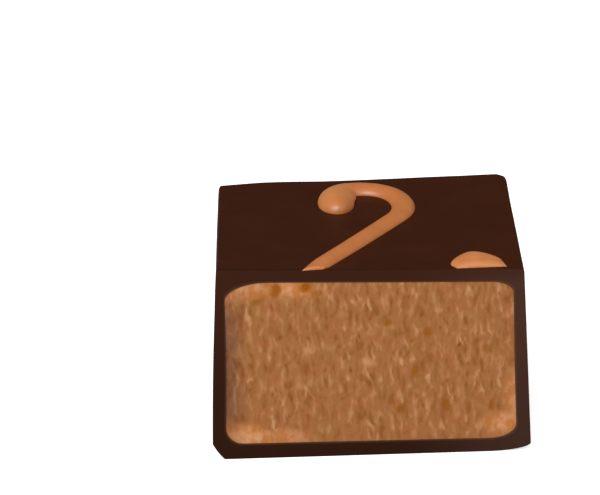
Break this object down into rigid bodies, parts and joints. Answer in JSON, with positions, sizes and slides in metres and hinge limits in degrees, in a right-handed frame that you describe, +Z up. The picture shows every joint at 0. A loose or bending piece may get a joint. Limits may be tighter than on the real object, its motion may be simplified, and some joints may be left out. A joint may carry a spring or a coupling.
{
  "type": "praline",
  "caption": "Block-shaped praline cut through: dark chocolate shell around a nut filling, with piped milk chocolate ornament on its flat top.",
  "frame": {"origin": "centre of the praline's bounding box, on the flat underside it rests on", "axes": "+X along the cut face, +Y from the cut face to the uncut end, +Z up"},
  "size_m": [0.025, 0.0214, 0.0164],
  "materials": {
    "dark_chocolate": "satin dark chocolate",
    "praline_filling": "matt cut nut filling, streaked by the knife",
    "piped_chocolate": "satin milk chocolate piping"
  },
  "bodies": {
    "root": {"shell": "dark_chocolate", "filling": "praline_filling", "piping_hook": "piped_chocolate", "piping_hump": "piped_chocolate"}
  },
  "joints": []
}
